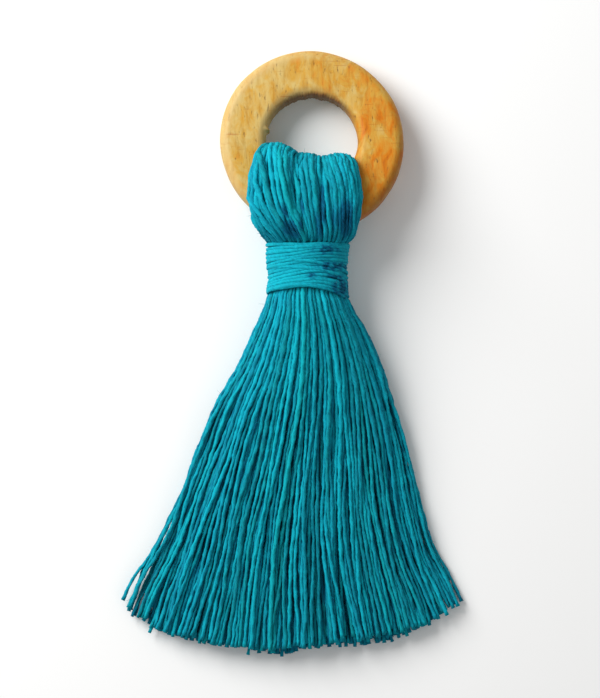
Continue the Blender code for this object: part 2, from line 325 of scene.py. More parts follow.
def shapeByHand(ring, hole, outer):
    # a rim a little out of round, torn end grain on the far wall of the eye, one splinter at its left
    count = len(ring.data.vertices)
    points = np.empty(count * 3)
    ring.data.vertices.foreach_get("co", points)
    points = points.reshape(-1, 3)
    radius = np.hypot(points[:, 0], points[:, 1])
    angle = np.arctan2(points[:, 1], points[:, 0])
    wall = ease((hole + 1.0 * mm - radius) / (0.8 * mm))
    farSide = ease((np.sin(angle) - 0.55) / 0.35)
    tears = waves(1, angle * 30, (4.7, 2.3, 1.1), (0.3, 0.25, 0.2))[0]
    tears += 0.2 * np.sin(points[:, 2] * 2600 + angle * 9)
    for bearing in ringShape["tufts"]:
        tears += 1.6 * np.exp(-((angle - math.radians(bearing)) / 0.045) ** 2)
    step = -ringShape["tornDepth"] * mm * wall * farSide * tears
    away = np.abs((angle - math.radians(ringShape["splinterAngle"]) + math.pi) % (2 * math.pi) - math.pi)
    splinter = np.exp(-(away * radius / (ringShape["splinterWide"] * mm)) ** 2) * wall
    step -= ringShape["splinterHeight"] * mm * splinter
    rim = ease((radius - hole) / (outer - hole))
    step += ringShape["oval"] * mm * rim * np.cos(2 * (angle - math.radians(ringShape["ovalBearing"])))
    points[:, 0] += np.cos(angle) * step
    points[:, 1] += np.sin(angle) * step
    ring.data.vertices.foreach_set("co", points.ravel())
    ring.data.update()


buildRing()
print("ring made")


# the hank's sections, in mm, from the cut ends to the fold. In the skirt the cut and the sides lie "bow"
# higher at the edges, and "dome" sharpens the sides. In the head each row goes round the ring from
# "yIn" and "inner" at the ring to "yOut" and "outer" at the surface, and "fill" crowds strands outwards.
skirtColumns = ("y", "bow", "left", "right", "top", "waist", "under", "dome")
skirtRows = (
    (-64.6, 10.6, -38.5, 38.6, 5.6, 0.9, 0.5, 1.3),
    (-58.0, 9.8, -35.7, 35.9, 6.2, 1.0, 0.5, 1.3),
    (-50.0, 8.4, -31.9, 32.3, 7.0, 1.1, 0.5, 1.3),
    (-38.0, 5.9, -26.9, 28.5, 8.1, 1.3, 0.5, 1.2),
    (-26.0, 3.7, -21.8, 25.7, 9.2, 1.7, 0.5, 1.1),
    (-14.0, 2.0, -16.6, 22.8, 10.4, 2.4, 0.5, 1.05),
    (-4.0, 0.8, -11.2, 19.6, 11.7, 3.4, 0.5, 1.0),
    (4.5, 0.3, -7.3, 15.9, 13.1, 5.0, 0.6, 0.9),
    (8.6, 0.0, -5.6, 13.6, 14.0, 6.4, 0.8, 0.9),
    (11.2, 0.0, -4.9, 12.4, 13.9, 7.0, 1.0, 0.9),
    (12.6, 0.0, -4.4, 11.6, 13.4, 7.2, 1.3, 0.9),
    (17.5, 0.0, -3.2, 10.6, 12.8, 7.2, 1.7, 0.9),
    (23.0, 0.0, -3.3, 10.7, 12.9, 7.2, 1.6, 0.9),
)
headColumns = ("yOut", "yIn", "left", "right", "outer", "inner", "fill")
frontRows = (
    (24.4, 23.9, -4.5, 12.2, 13.9, 7.8, 1.0),
    (26.2, 25.0, -5.6, 13.4, 15.9, 10.4, 1.0),
    (29.0, 27.2, -7.1, 14.1, 17.2, 12.8, 1.0),
    (33.0, 30.6, -8.4, 14.7, 18.0, 12.4, 0.95),
    (36.8, 33.6, -8.2, 14.6, 18.0, 11.9, 0.9),
    (40.2, 35.6, -7.7, 14.0, 16.8, 11.1, 0.8),
    (42.6, 36.4, -6.6, 13.6, 14.4, 10.2, 0.6),
    (43.7, 36.7, -5.3, 13.2, 11.8, 9.0, 0.45),
    (44.0, 36.8, -4.4, 12.9, 8.9, 8.0, 0.4),
)
backRows = (
    (24.4, 23.9, -4.0, 11.6, 1.2, 6.8, 1.0),
    (26.2, 25.0, -5.1, 12.8, 0.6, 5.6, 1.0),
    (29.0, 27.2, -6.5, 13.5, 0.5, 4.9, 1.0),
    (33.0, 30.6, -8.0, 14.4, 0.5, 4.4, 0.95),
    (36.8, 33.6, -7.8, 14.2, 0.5, 4.0, 0.9),
    (40.2, 35.4, -6.9, 13.8, 1.3, 4.3, 0.8),
    (42.6, 36.2, -5.2, 13.4, 3.5, 5.4, 0.7),
    (43.6, 36.7, -4.5, 13.1, 6.1, 6.7, 0.45),
    (44.0, 36.8, -4.4, 12.9, 8.3, 7.5, 0.4),
)
foldLine = ((-7.6, 42.7), (-5.5, 44.6), (-3.3, 44.8), (-1.0, 44.2), (1.4, 42.8), (3.5, 42.5), (6.6, 41.8),
            (10.2, 42.5),
            (12.4, 42.2), (14.6, 40.9))
grooves = ((1.6, -0.4, 1.3, 1.2), (6.7, 5.6, 1.0, 1.0))      # x at the fold, x at the neck, depth, width
# the shares of the three, and their twist
lobes = ((0.0, 0.44, 1.25), (0.44, 0.67, 1.2), (0.67, 1.0, 0.65))

yarnShape = {
    "strands": 190,          # folded over the ring, so 380 hang from the neck
    "radius": 0.405,         # mm, of the loose yarn
    "boundRadius": 0.312,    # mm, of the yarn squeezed under the binding
    "shadeFrom": 0.2,        # mm below the outermost yarn where the painted shade begins
    "shadeOver": 1.15,       # mm
    "pressed": 0.5,          # how far strands in the head flatten into each other
    "headShare": 0.62,       # how far it fills out again over the ring
    "skirtLevels": 34,
    "headLevels": 17,
    "rounds": 80,            # of settling the strands against each other
    "step": 1.0,             # mm between rings of a strand's mesh
    "sides": 8,
    "locks": 30,             # the cut ends gather a little towards as many places
    "lockPull": 0.17,
    "stray": 0.013,          # of the width, how far a strand's cut end strays from its place
    "ringClearance": 0.18,   # mm
    "neckMiddle": (3.7, 7.25),      # mm, x and z, where the binding holds the strands
    "neckHalf": (7.6, 6.1),         # mm, half-width and half-height
    "neckFrom": 12.6,
    "neckTo": 23.6,
    "neckFlare": (0.75, 0.5),       # mm more room where they leave it
    "cutUneven": 0.45,       # mm
    "frontShorter": 0.9,     # mm
    "backLonger": 0.9,       # mm
    "hemCurve": 2.7,         # how late the cut turns up towards its corners
    "hemDips": ((-4.5, 4.0, 0.7), (11.0, 5.5, -0.8), (-27.0, 6.0, 0.9)),      # x, half-width, mm longer
    "corner": 7,             # strands that stand apart at the skirt's left corner
    "groups": 6,
}


def smoothTable(columns, rows, places):
    # a cubic curve through each column, read at places counted in rows
    table = np.array(rows, float)
    slopes = np.gradient(table, axis=0)
    steps = np.diff(table, axis=0)
    turning = np.ones_like(table, bool)
    turning[1:-1] = steps[1:] * steps[:-1] <= 0
    turning[[0, -1]] = False
    slopes[turning] = 0.0
    index = np.clip(places.astype(int), 0, len(rows) - 2)
    t = (places - index)[:, None]
    curve = bend(t, table[index], table[index + 1], slopes[index], slopes[index + 1])
    return {name: curve[:, i] for i, name in enumerate(columns)}


def foldShift(x):
    places, heights = np.array(foldLine).T
    return np.interp(x, places, heights) - frontRows[-1][0]


def grooveDepth(x, y):
    along = np.clip((y - frontRows[0][0]) / (frontRows[-1][0] - frontRows[0][0]), 0.0, 1.0)
    depth = np.zeros_like(x)
    for foldX, neckX, deep, wide in grooves:
        depth += deep * np.exp(-((x - mix(neckX, foldX, along)) / wide) ** 2) * ease(0.25 + along)
    return depth


def spread(q, thickness, grid):
    # across-place of a strand where the strands fill the section evenly
    total = np.concatenate(([0.0], np.cumsum(0.5 * (thickness[1:] + thickness[:-1]))))
    u = np.interp(q, total / total[-1], grid)
    edges = np.interp((0.5 / yarnShape["strands"], 1 - 0.5 / yarnShape["strands"]), total / total[-1], grid)
    return np.clip((u - edges[0]) / (edges[1] - edges[0]) * 2 - 1, -1, 1)


def twistLobes(q, w, share):
    # each of the three bundles in the head is turned a little about its own length
    turnedQ, turnedW = q.copy(), w.copy()
    for low, high, angle in lobes:
        inside = (q >= low) & (q < high) if high < 1 else q >= low
        a = (q[inside] - low) / (high - low) * 2 - 1
        b = w[inside] * 2 - 1
        # turned along the squares round the bundle's middle
        reach = np.maximum(np.abs(a), np.abs(b))
        bearing = np.arctan2(b, a) + angle * share
        edge = np.maximum(np.abs(np.cos(bearing)), np.abs(np.sin(bearing)))
        turnedQ[inside] = low + (reach * np.cos(bearing) / edge + 1) / 2 * (high - low)
        turnedW[inside] = (reach * np.sin(bearing) / edge + 1) / 2
    return turnedQ, turnedW


def layStrands():
    # first lay: every strand has a share across (q) and a share from the core out (w)
    shape = yarnShape
    count = shape["strands"]
    q = (np.arange(count) + 0.5) / count
    w = (np.arange(count) * 0.6180339 + 0.31) % 1.0      # the golden share spreads them evenly
    grid = np.linspace(-1, 1, 201)
    skirt = smoothTable(skirtColumns, skirtRows, np.linspace(0, len(skirtRows) - 1, shape["skirtLevels"]))
    halves = []
    for front in (True, False):
        locks = rng.uniform(0.02, 0.98, shape["locks"])
        head = smoothTable(headColumns, frontRows if front else backRows,
                           np.linspace(0, len(frontRows) - 1, shape["headLevels"]))
        baseQ, baseW = (q, w) if front else twistLobes(q, w, 1.0)
        hemQ = np.clip(baseQ + rng.normal(0, shape["stray"], count), 0.002, 0.998)
        nearest = locks[np.argmin(np.abs(hemQ[:, None] - locks[None, :]), axis=1)]
        hemQ = mix(hemQ, nearest, shape["lockPull"])
        hemW = np.clip(mix(baseW, rng.uniform(0, 1, count), 0.3), 0, 1)
        levels = []
        for i in range(shape["skirtLevels"]):
            row = {name: values[i] for name, values in skirt.items()}
            toHem = ease((12.0 - row["y"]) / 76.0)
            share = mix(baseQ, hemQ, toHem)
            depth = mix(baseW, hemW, toHem)
            domeGrid = np.maximum(1 - grid**2, 0) ** (row["dome"] / 2)
            topGrid = row["waist"] + (row["top"] - row["waist"]) * domeGrid
            lowGrid = row["waist"] - (row["waist"] - row["under"]) * np.minimum(1, 1.5 * domeGrid)
            u = spread(share, topGrid - lowGrid + 0.15, grid)
            top = np.interp(u, grid, topGrid)
            low = np.interp(u, grid, lowGrid)
            x = mix(row["left"], row["right"], 0.5 * (u + 1))
            y = row["y"] + row["bow"] * np.abs(u) ** shape["hemCurve"]
            z = mix(0.5 * (top + low), top if front else low, depth)
            levels.append(np.stack([x, y, z], axis=1))
        for i in range(shape["headLevels"]):
            row = {name: values[i] for name, values in head.items()}
            rise = i / (shape["headLevels"] - 1)
            share, depth = twistLobes(q, w, rise if front else 1.0)
            outDome = np.maximum(1 - grid**2, 0) ** 0.36
            edge = mix(row["inner"], row["outer"], 0.3)
            outGrid = edge + (row["outer"] - edge) * outDome
            u = spread(share, np.abs(outGrid - row["inner"]) + 0.6, grid)
            x = mix(row["left"], row["right"], 0.5 * (u + 1))
            outZ = np.interp(u, grid, outGrid)
            depth = np.minimum(depth / mix(0.72, 1.0, row["fill"]), 1.0) ** row["fill"]
            yIn = row["yIn"] + eyeRise(x) * ease((row["yOut"] - 36.0) / 6.0)
            yOut = row["yOut"] + foldShift(x) * ease((row["yOut"] - 34.0) / 9.0)
            y = mix(np.minimum(yIn, yOut - 0.6), yOut, depth)
            z = mix(row["inner"], outZ, depth)
            if front:
                z -= grooveDepth(x, y) * depth
            levels.append(np.stack([x, y, z], axis=1))
        halves.append(np.stack(levels, axis=1))
    frontHalf, backHalf = halves
    fold = 0.5 * (frontHalf[:, -1:] + backHalf[:, -1:])
    paths = np.concatenate([frontHalf[:, :-1], fold, backHalf[:, -2::-1]], axis=1)
    return paths, q


ringLow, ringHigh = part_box("ring")
ringCentre = np.array((ringLow + ringHigh) / 2) / mm
ringOuter = (ringHigh.x - ringLow.x) / 2 / mm


def eyeRise(x):
    # the eye's wall climbs away from its lowest point
    reach = ringShape["holeRadius"] - 0.6
    side = np.clip(np.abs(x - ringCentre[0]), 0, reach * 0.97)
    return reach - np.sqrt(reach * reach - side * side)


def ringFrame():
    tilt = math.radians(ringShape["tilt"])
    return np.array(((1, 0, 0), (0, math.cos(tilt), math.sin(tilt)), (0, -math.sin(tilt), math.cos(tilt))))


def clearRing(points, radius):
    # strands are pushed out of the ring along its nearest normal
    turn = ringFrame()
    local = (points - ringCentre) @ turn
    flat = np.hypot(local[..., 0], local[..., 1])
    middle = 0.5 * (ringOuter + ringShape["holeRadius"])
    half = 0.5 * (ringOuter - ringShape["holeRadius"]) - ringShape["edgeRadius"]
    tall = 0.5 * ringShape["thickness"] - ringShape["edgeRadius"]
    a = flat - middle
    b = local[..., 2]
    qa = np.abs(a) - half
    qb = np.abs(b) - tall
    outA, outB = np.maximum(qa, 0), np.maximum(qb, 0)
    length = np.hypot(outA, outB)
    distance = length + np.minimum(np.maximum(qa, qb), 0) - ringShape["edgeRadius"]
    inner = length < 1e-6
    na = np.where(inner, (qa > qb) * 1.0, outA / np.maximum(length, 1e-6)) * np.sign(a)
    nb = np.where(inner, (qa <= qb) * 1.0, outB / np.maximum(length, 1e-6)) * np.sign(b)
    push = np.maximum(radius + yarnShape["ringClearance"] - distance, 0)
    step = np.stack([na * local[..., 0] / np.maximum(flat, 1e-6),
                     na * local[..., 1] / np.maximum(flat, 1e-6), nb], -1)
    return points + (step * push[..., None]) @ turn.T


def strandRadii(paths):
    # squeezed at the binding, full size a little way from it
    y = paths[..., 1]
    below = ease((11.5 - y) / 22.0)
    above = yarnShape["headShare"] * ease((y - 24.5) / 7.0)
    loose = np.maximum(below, above)
    return mix(yarnShape["boundRadius"], yarnShape["radius"], loose)


def settle(paths):
    # same-level strands push each other apart, and the floor, ring and binding hold them
    count, levels, _ = paths.shape
    paths = paths.astype(np.float32)
    rest = paths.copy()
    half = (levels + 1) // 2
    same = np.zeros((2 * count, 2 * count), bool)
    same[np.arange(count), np.arange(count) + count] = True
    same[np.arange(count) + count, np.arange(count)] = True
    same[np.arange(2 * count), np.arange(2 * count)] = True
    neckMiddle = np.array(yarnShape["neckMiddle"])
    neckHalf = np.array(yarnShape["neckHalf"])
    for _ in range(yarnShape["rounds"]):
        radii = strandRadii(paths)
        tangent = np.gradient(paths, axis=1)
        tangent /= np.maximum(np.linalg.norm(tangent, axis=2, keepdims=True), 1e-6)
        for i in range(half):
            j = levels - 1 - i
            if i == j:
                p, t, r = paths[:, i], tangent[:, i], radii[:, i]
                skip = same[:count, :count]
            else:
                p = np.concatenate([paths[:, i], paths[:, j]])
                t = np.concatenate([tangent[:, i], tangent[:, j]])
                r = np.concatenate([radii[:, i], radii[:, j]])
                skip = same
            apart = p[:, None] - p[None]
            along = np.einsum("ijk,ik->ij", apart, t)
            apart -= along[..., None] * t[:, None]
            distance = np.sqrt(np.einsum("ijk,ijk->ij", apart, apart)) + 1e-6
            overlap = (r[:, None] + r[None]) * 0.97 - distance
            touching = (overlap > 0) & (np.abs(along) < 2.5) & ~skip
            weight = np.where(touching, overlap / distance, 0.0)
            push = np.einsum("ij,ijk->ik", weight, apart)
            crowd = np.maximum(touching.sum(axis=1), 1)
            push *= (0.9 / np.maximum(crowd * 0.55, 1.0))[:, None]
            if i == j:
                paths[:, i] += push
            else:
                paths[:, i] += push[:count]
                paths[:, j] += push[count:]
        # a strand bends smoothly, and it's drawn back a little to where it was laid
        shift = paths - rest
        shift[:, 1:-1] = 0.5 * shift[:, 1:-1] + 0.25 * (shift[:, 2:] + shift[:, :-2])
        paths = rest + shift * 0.985
        paths = clearRing(paths, radii)
        inNeck = (paths[..., 1] > yarnShape["neckFrom"]) & (paths[..., 1] < yarnShape["neckTo"])
        flare = ease((15.2 - paths[..., 1]) / 2.6)[..., None]
        room = neckHalf + flare * yarnShape["neckFlare"] - radii[..., None]
        flat = (paths[..., [0, 2]] - neckMiddle) / room
        reach = np.linalg.norm(flat, axis=2)
        over = inNeck & (reach > 1)
        held = neckMiddle + flat / np.maximum(reach, 1)[..., None] * room
        paths[..., 0] = np.where(over, held[..., 0], paths[..., 0])
        paths[..., 2] = np.where(over, held[..., 1], paths[..., 2])
        paths[..., 2] = np.maximum(paths[..., 2], radii)
        near = paths[..., 1] > 40.0
        edge = frontRows[-1][0] + foldShift(paths[..., 0]) + 0.1
        paths[..., 1] = np.where(near, np.minimum(paths[..., 1], edge), paths[..., 1])
        paths = paths.astype(np.float32)
    return paths.astype(float)


def wander(paths):
    # every strand strays a little from its lay, more towards its cut ends
    count = len(paths)
    steps = np.linalg.norm(np.diff(paths, axis=1), axis=2).mean(axis=0)
    run = np.concatenate(([0.0], np.cumsum(steps)))
    y = paths[..., 1]
    free = ease((10.0 - y) / 28.0)
    head = ease((y - 25.0) / 5.0) * 0.22
    amount = np.maximum(free, head)
    paths[..., 0] += amount * waves(count, run, (47.0, 21.0, 9.5), (0.42, 0.09, 0.03))
    paths[..., 2] += amount * waves(count, run, (39.0, 17.0, 8.0), (0.24, 0.10, 0.04))
    return paths


def splayCorner(paths, q):
    # a few outer strands at the left corner stand apart from their neighbours
    order = np.argsort(q)[:yarnShape["corner"]]
    for end in (slice(None), slice(None, None, -1)):
        for rank, i in enumerate(order):
            path = paths[i, end]
            y = path[:, 1]
            run = ease((-30.0 - y) / 26.0)
            path[:, 0] -= (1.5 - 0.33 * rank) * run * rng.uniform(0.3, 1.2)
            path[:, 1] += 0.3 * run * (3 - rank) * rng.uniform(0.3, 1.0)
    loose = paths[order[0]]
    away = ease((-43.0 - loose[:, 1]) / 11.0) * (np.arange(len(loose)) < len(loose) // 2)
    loose[:, 0] += 0.8 * away
    loose[:, 1] += 1.2 * away
    return paths


def trimEnds(paths):
    # the cut: no two strands end quite level, and those at the back end a little lower
    count = len(paths)
    for end, inner, longer in ((0, 1, -yarnShape["frontShorter"]), (-1, -2, yarnShape["backLonger"])):
        way = paths[:, end] - paths[:, inner]
        way /= np.linalg.norm(way, axis=1, keepdims=True)
        uneven = rng.normal(0, yarnShape["cutUneven"], count).clip(-1.2, 0.7)
        x = paths[:, end, 0]
        dip = sum(deep * np.exp(-((x - middle) / wide) ** 2) for middle, wide, deep in yarnShape["hemDips"])
        shows = np.exp(-((x - 16.0) / 11.0) ** 2)
        if longer > 0:
            shows = np.maximum(shows, 1.8 * np.exp(-((x + 2.0) / 4.5) ** 2))
        paths[:, end] += way * (uneven + dip + longer * shows * rng.uniform(0.45, 1.0, count))[:, None]
    return paths


def resample(path, step):
    # a smooth curve through one strand's points, read at even steps
    before = np.vstack([2 * path[:1] - path[1:2], path[:-1]])
    after = np.vstack([path[1:], 2 * path[-1:] - path[-2:-1]])
    slopes = 0.5 * (after - before)
    fine = 8
    t = (np.arange(fine) / fine)[None, :, None]
    curve = bend(t, path[:-1, None], path[1:, None], slopes[:-1, None], slopes[1:, None])
    curve = np.vstack([curve.reshape(-1, 3), path[-1:]])
    run = np.concatenate(([0.0], np.cumsum(np.linalg.norm(np.diff(curve, axis=0), axis=1))))
    places = np.linspace(0, run[-1], int(round(run[-1] / step)) + 1)
    return np.stack([np.interp(places, run, curve[:, k]) for k in range(3)], axis=1), places


def carryFrames(points):
    # normals carried along the strand without turning about it
    tangent = np.gradient(points, axis=0)
    tangent /= np.maximum(np.linalg.norm(tangent, axis=1, keepdims=True), 1e-9)
    normals = np.empty_like(points)
    normal = np.array((1.0, 0.0, 0.0))
    for i in range(len(points)):
        normal = normal - tangent[i] * np.dot(normal, tangent[i])
        normal /= max(np.linalg.norm(normal), 1e-9)
        normals[i] = normal
    return normals, np.cross(tangent, normals)


def tubeMesh(name, strands, sides, columns=1):
    # one mesh of many strands. Each has points, two half-widths, two directions, run and tones.
    # Attributes: yarnRun is (mm along, cos, sin round), yarnTone is (brightness, shade, hue).
    points, runs, tones, faces, strips = [], [], [], [], []
    base = 0
    around = np.arange(sides) / sides * 2 * math.pi
    ringCos, ringSin = np.cos(around), np.sin(around)
    # the bake map has a strip for each 110 mm or so of a strand
    parts = [max(1, round(strand["run"][-1] / 110)) for strand in strands]
    rows = math.ceil(sum(parts) / columns)
    strip = 0
    for strand, share in zip(strands, parts):
        count = len(strand["points"])
        offset = (strand["normal"][:, None] * (ringCos[None, :, None] * strand["wide"][:, None, None])
                  + strand["side"][:, None] * (ringSin[None, :, None] * strand["tall"][:, None, None]))
        run = np.repeat(strand["run"], sides)
        offset *= 1 + rng.normal(0, strand.get("rough", 0.0), (count, sides, 1))
        points.append((strand["points"][:, None] + offset).reshape(-1, 3))
        runs.append(np.stack([run, np.tile(ringCos, count), np.tile(ringSin, count)], axis=1))
        tone = np.repeat(strand["tone"], sides, axis=0)
        tones.append(tone)
        i = np.arange(count - 1)[:, None] * sides
        j = np.arange(sides)[None, :]
        k = (j + 1) % sides
        quads = np.stack([i + j, i + k, i + k + sides, i + j + sides], axis=2).reshape(-1, 4) + base
        faces.append(quads)
        place = strand["run"] / strand["run"][-1] * share
        part = np.minimum(place[:-1].astype(int), share - 1)
        column = ((strip + part) % columns)[:, None]
        row = ((strip + part) // columns)[:, None]
        u0 = np.repeat((column + 0.01 + 0.98 * (place[:-1] - part)[:, None]) / columns, sides, axis=1)
        u1 = np.repeat((column + 0.01 + 0.98 * np.minimum(place[1:] - part, 1)[:, None]) / columns, sides,
                       axis=1)
        v0 = (row + 0.08 + 0.84 * j / sides) / rows
        v1 = (row + 0.08 + 0.84 * (j + 1) / sides) / rows
        strips.append(np.stack([np.stack([u0, v0], 2), np.stack([u0, v1], 2),
                                np.stack([u1, v1], 2), np.stack([u1, v0], 2)], axis=2).reshape(-1, 2))
        strip += share
        strand["base"], strand["count"] = base, count
        base += count * sides
    points = np.concatenate(points) * mm
    quads = np.concatenate(faces)
    strips = np.concatenate(strips)
    caps = []
    for strand in strands:
        first = strand["base"] + np.arange(sides)
        last = strand["base"] + (strand["count"] - 1) * sides + np.arange(sides)
        caps.append(first[::-1])
        caps.append(last)
    caps = np.array(caps)
    mesh = bpy.data.meshes.new(name)
    mesh.vertices.add(len(points))
    mesh.vertices.foreach_set("co", points.ravel())
    loops = np.concatenate([quads.ravel(), caps.ravel()])
    mesh.loops.add(len(loops))
    mesh.loops.foreach_set("vertex_index", loops.astype(np.int32))
    starts = np.concatenate([np.arange(len(quads)) * 4, len(quads) * 4 + np.arange(len(caps)) * sides])
    mesh.polygons.add(len(starts))
    mesh.polygons.foreach_set("loop_start", starts.astype(np.int32))
    mesh.update(calc_edges=True)
    mesh.validate()
    capPlace = np.tile(np.stack([0.002 + 0.0015 * ringCos, 0.5 / rows + 0.0015 * ringSin], 1), (len(caps), 1))
    uv = mesh.uv_layers.new(name="OFBake")
    uv.data.foreach_set("uv", np.concatenate([strips, capPlace]).ravel().astype(np.float32))
    run = mesh.attributes.new("yarnRun", "FLOAT_VECTOR", "POINT")
    run.data.foreach_set("vector", np.concatenate(runs).ravel().astype(np.float32))
    tone = mesh.attributes.new("yarnTone", "FLOAT_VECTOR", "POINT")
    tone.data.foreach_set("vector", np.concatenate(tones).ravel().astype(np.float32))
    # the cut ends are flat
    smooth = np.concatenate([np.ones(len(quads), bool), np.zeros(len(caps), bool)])
    mesh.polygons.foreach_set("use_smooth", smooth)
    piece = bpy.data.objects.new(name, mesh)
    bpy.context.scene.collection.objects.link(piece)
    return piece


# soft-spun cotton, vat dyed teal, its fibres laid in a loose twist: matt, slanting streaks, and gaps darkened
# with painted shade
yarnLook = {
    "bright": "#0DAABD",
    "mid": "#0B8B9D",
    "dull": "#096D80",
    # the two darkest colours are painted shade, for the gaps between strands and for the core where they part
    "deep": "#066284",
    "shadow": "#04334C",
    "greener": "#0C988E",
    "bluer": "#0C86A6",
    "hueShare": 0.3,
    "strandShare": 0.55,     # how much of the brightness each strand, slub, ply and fibre gives
    "slubShare": 0.5,
    "plyShare": 0.05,
    "fibreShare": 0.55,
    "ground": -0.1,
    "twistPitch": 3.4,       # mm for one turn of the fibres, which are drawn coarser than they are
    "fibreHeight": 0.13,     # mm
    "roughness": 0.82,
    "sheen": 0.05,
    "sheenTint": "#4FC9D6",
}


def yarnMaterial(name, lighter, pitch):
    material, tree, shader = newMaterial(name)
    look = yarnLook
    run = addNode(tree, "Attribute", attribute_name="yarnRun").outputs["Vector"]
    tone = addNode(tree, "Attribute", attribute_name="yarnTone").outputs["Vector"]
    runParts = addNode(tree, "SeparateXYZ", {"Vector": run})
    toneParts = addNode(tree, "SeparateXYZ", {"Vector": tone})
    angle = addNode(tree, "Math", {0: runParts.outputs["Z"], 1: runParts.outputs["Y"]}, operation="ARCTAN2")
    along = addNode(tree, "Math", {0: runParts.outputs["X"], 1: 2 * math.pi / pitch}, operation="MULTIPLY")
    lag = addNode(tree, "Math", {0: toneParts.outputs["X"], 1: 40.0}, operation="MULTIPLY")
    phase = addNode(tree, "Math", {0: along.outputs[0], 1: angle.outputs[0]}, operation="ADD")
    phase = addNode(tree, "Math", {0: phase.outputs[0], 1: lag.outputs[0]}, operation="ADD")
    # two soft plies and their finer fibres follow the same slant
    double = addNode(tree, "Math", {0: phase.outputs[0], 1: 2.0}, operation="MULTIPLY")
    plies = addNode(tree, "Math", {0: double.outputs[0]}, operation="SINE")
    slant = addNode(tree, "CombineXYZ", {"X": phase.outputs[0], "Y": runParts.outputs["X"],
                                         "Z": lag.outputs[0]})
    slantScale = addNode(tree, "Mapping", {"Vector": slant.outputs[0], "Scale": (2.1, 0.8, 1.0)})
    fibres = addNode(tree, "TexNoise", {"Vector": slantScale.outputs[0], "Scale": 1.0, "Detail": 5.0,
                                        "Roughness": 0.7})
    slubCoords = addNode(tree, "CombineXYZ", {"X": along.outputs[0], "Y": lag.outputs[0],
                                              "Z": runParts.outputs["Y"]})
    slubs = addNode(tree, "TexNoise", {"Vector": slubCoords.outputs[0], "Scale": 0.23, "Detail": 3.0,
                                       "Roughness": 0.6})
    # dye: brighter on the raised fibres; between the strands the colour is darkened with painted shade
    fibreTone = addNode(tree, "MapRange", {"Value": fibres.outputs["Fac"], "From Min": 0.3, "From Max": 0.7,
                                           "To Min": 0.0, "To Max": 1.0})
    light = addNode(tree, "Math", {0: toneParts.outputs["X"], 1: look["strandShare"]}, operation="MULTIPLY")
    for source, share in (
        (slubs.outputs["Fac"], look["slubShare"]),
        (plies.outputs[0], look["plyShare"]),
        (fibreTone.outputs[0], look["fibreShare"]),
    ):
        light = addNode(tree, "Math", {0: source, 1: share, 2: light.outputs[0]}, operation="MULTIPLY_ADD")
    light = addNode(tree, "Math", {0: light.outputs[0], 1: look["ground"] + lighter}, operation="ADD")
    dyed = addNode(tree, "ValToRGB", {"Fac": light.outputs[0]})
    setRamp(dyed, ((0.22, linear(look["dull"])), (0.55, linear(look["mid"])), (0.95, linear(look["bright"]))))
    # no two strands took the dye quite alike
    patch = addNode(tree, "MapRange", {"Value": slubs.outputs["Fac"], "From Min": 0.3, "From Max": 0.7,
                                       "To Min": -0.5, "To Max": 0.5})
    hue = addNode(tree, "Math", {0: toneParts.outputs["Z"], 1: patch.outputs[0]}, operation="ADD")
    green = addNode(tree, "MapRange", {"Value": hue.outputs[0], "To Max": look["hueShare"]})
    blue = addNode(tree, "MapRange", {"Value": hue.outputs[0], "From Max": -1.0, "To Max": look["hueShare"]})
    # painted shade: the gaps between strands are darkened, unevenly along them, and where strands part a
    # darker painted shadow stands for the core
    mottle = addNode(tree, "MapRange", {"Value": fibres.outputs["Fac"], "From Min": 0.35, "From Max": 0.65,
                                        "To Min": 1.25, "To Max": 0.5})
    depth = addNode(tree, "Math", {0: toneParts.outputs["Y"], 1: mottle.outputs[0]}, operation="MULTIPLY")
    gapShade = addNode(tree, "MapRange", {"Value": depth.outputs[0]})
    coreShadow = addNode(tree, "MapRange", {"Value": depth.outputs[0], "From Min": 1.0, "From Max": 2.0})
    coloured = dyed.outputs[0]
    for amount, colour in ((green, "greener"), (blue, "bluer"), (gapShade, "deep"), (coreShadow, "shadow")):
        coloured = addNode(tree, "Mix", {0: amount.outputs[0], 6: coloured, 7: linear(look[colour])},
                           data_type="RGBA").outputs[2]
    tree.links.new(coloured, shader.inputs["Base Color"])
    heights = addNode(tree, "Math", {0: plies.outputs[0], 1: 0.35}, operation="MULTIPLY")
    heights = addNode(tree, "Math", {0: heights.outputs[0], 1: fibres.outputs["Fac"]}, operation="ADD")
    bump = addNode(tree, "Bump", {"Height": heights.outputs[0], "Strength": 0.8,
                                  "Distance": look["fibreHeight"] * mm})
    tree.links.new(bump.outputs[0], shader.inputs["Normal"])
    shader.inputs["Roughness"].default_value = look["roughness"]
    shader.inputs["Specular IOR Level"].default_value = 0.08
    shader.inputs["Sheen Weight"].default_value = look["sheen"]
    shader.inputs["Sheen Roughness"].default_value = 0.5
    shader.inputs["Sheen Tint"].default_value = linear(look["sheenTint"])
    return material


def buriedShade(points):
    # how deep a point lies between the front and the back of the skirt, from 0 to 1
    cell = 1.1      # mm
    low = points.min(axis=0)
    index = ((points[:, :2] - low[:2]) / cell).astype(int)
    size = index.max(axis=0) + 1
    top = np.full(size, -1e9)
    bottom = np.full(size, 1e9)
    np.maximum.at(top, (index[:, 0], index[:, 1]), points[:, 2])
    np.minimum.at(bottom, (index[:, 0], index[:, 1]), points[:, 2])
    around = [top]
    below = [bottom]
    for axis in (0, 1):
        for shift in (-1, 1):
            around.append(np.roll(top, shift, axis))
            below.append(np.roll(bottom, shift, axis))
    around = np.sort(np.stack(around), axis=0)[-3]
    below = np.sort(np.stack(below), axis=0)[2]
    fromTop = around[index[:, 0], index[:, 1]] - points[:, 2]
    fromBack = points[:, 2] - below[index[:, 0], index[:, 1]]
    depth = np.minimum(fromTop, fromBack)
    return ease((depth - yarnShape["shadeFrom"]) / yarnShape["shadeOver"])
